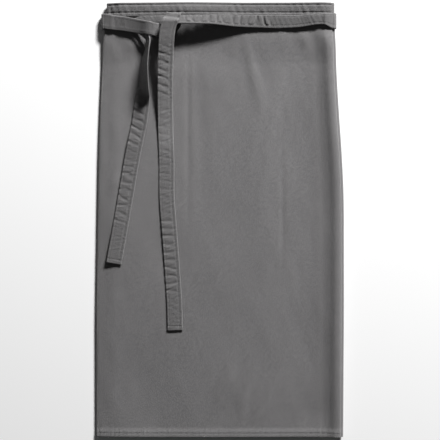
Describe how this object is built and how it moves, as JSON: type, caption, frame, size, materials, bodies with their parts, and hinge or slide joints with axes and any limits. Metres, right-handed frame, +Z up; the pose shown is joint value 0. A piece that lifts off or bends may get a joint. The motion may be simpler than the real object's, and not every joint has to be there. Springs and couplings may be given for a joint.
{
  "type": "waist apron",
  "caption": "Long waist apron lying flat, its sides folded behind and its ties crossed behind, brought round and knotted once over the front.",
  "frame": {"origin": "on the floor, under the middle of the apron as it lies", "axes": "+X across to the wearer's left, +Y along the apron to the waistband, +Z up from the floor"},
  "size_m": [0.4582, 0.8, 0.0373],
  "materials": {
    "skirt_cloth": "mid grey cotton twill, matt",
    "band_cloth": "mid grey cotton twill, doubled and stitched, matt",
    "tie_cloth": "mid grey cotton twill, folded flat and edge stitched, matt"
  },
  "bodies": {
    "root": {"skirt": "skirt_cloth", "waistband": "band_cloth", "left_tie": "tie_cloth", "right_tie": "tie_cloth"}
  },
  "joints": []
}
